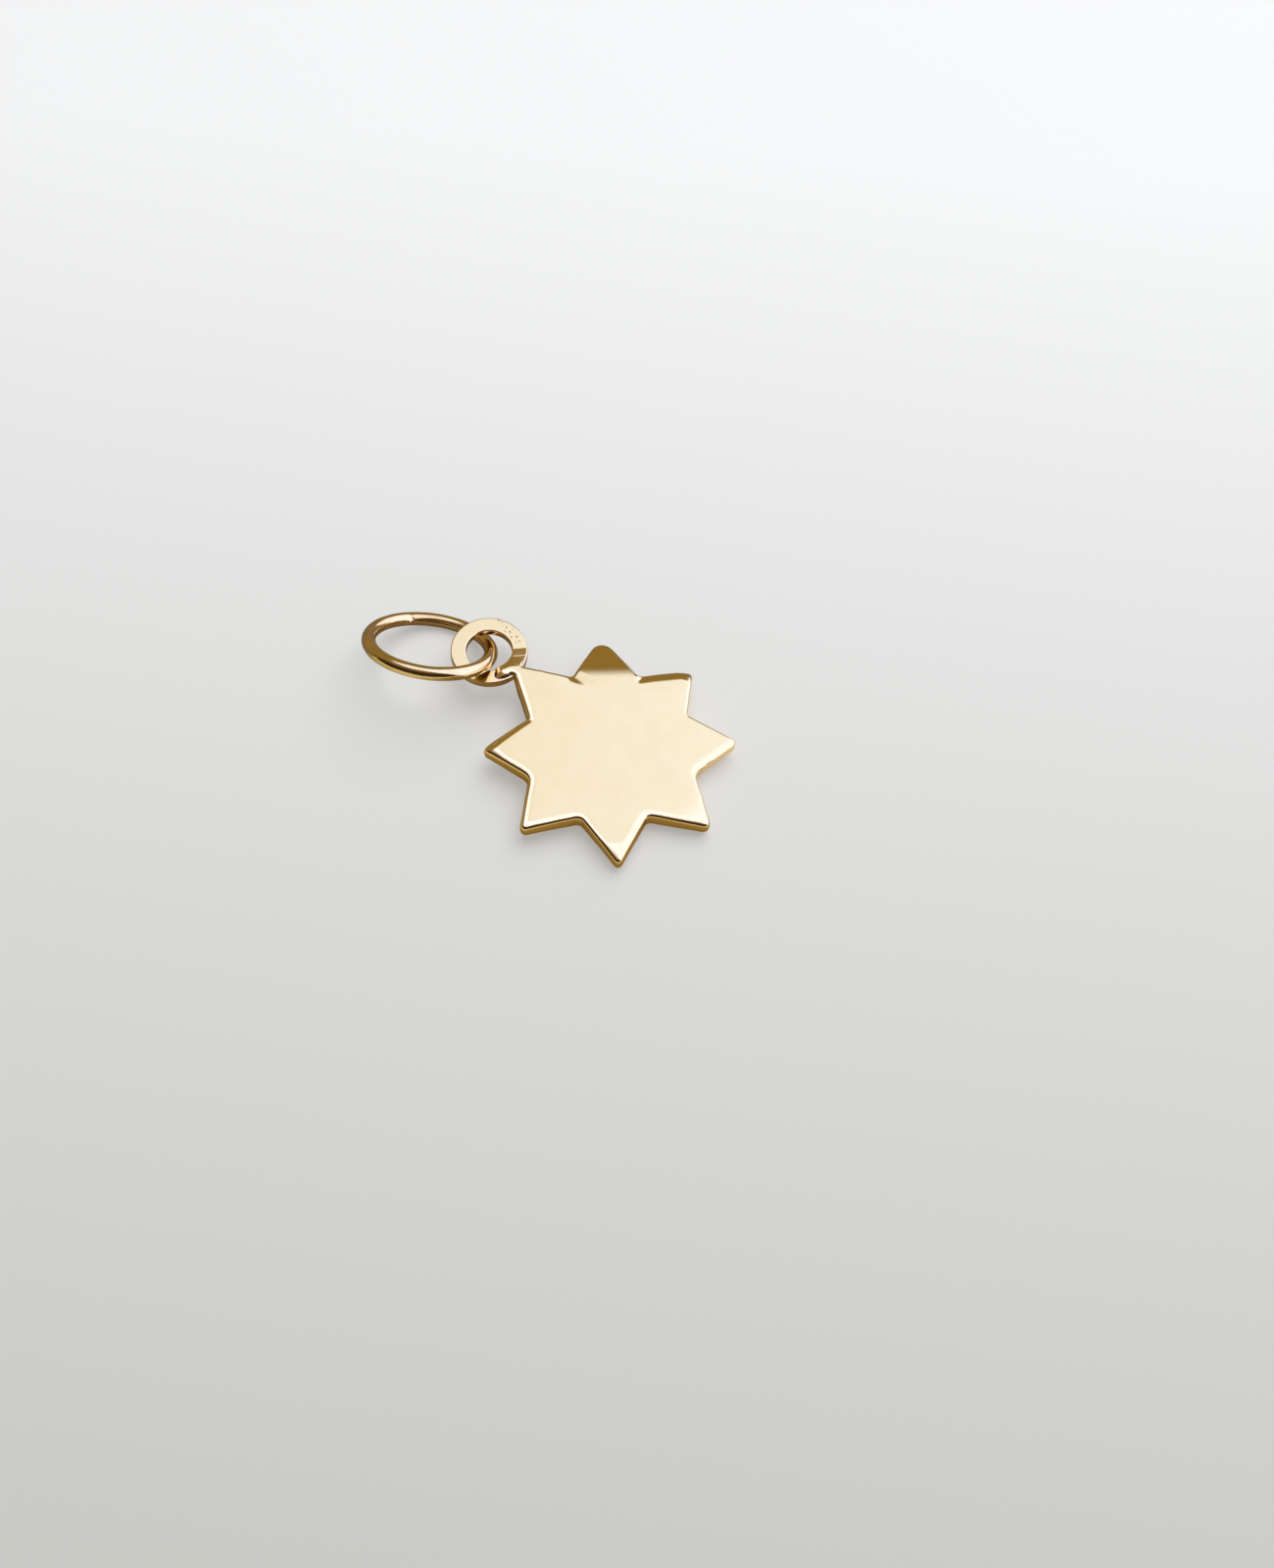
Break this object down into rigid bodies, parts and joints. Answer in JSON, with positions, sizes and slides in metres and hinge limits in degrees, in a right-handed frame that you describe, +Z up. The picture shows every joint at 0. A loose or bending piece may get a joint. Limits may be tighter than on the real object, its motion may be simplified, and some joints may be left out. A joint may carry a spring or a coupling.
{
  "type": "sun pendant charm with jump ring",
  "caption": "Flat polished gold sun charm with pointed rays, a thin eye at the end of a ray and a soldered round-wire jump ring hanging in it, lying face up.",
  "frame": {"origin": "on the surface that the charm lies on, straight under the middle of the sun", "axes": "+Z up from that surface, +Y from the sun towards the eye and the jump ring, +X towards the side whose rays are bent down"},
  "size_m": [0.0091, 0.0148, 0.0028],
  "materials": {
    "charm_gold": "mirror polished yellow gold",
    "ring_gold": "polished drawn gold wire"
  },
  "bodies": {
    "root": {"sun_charm": "charm_gold", "jump_ring": "ring_gold"}
  },
  "joints": []
}
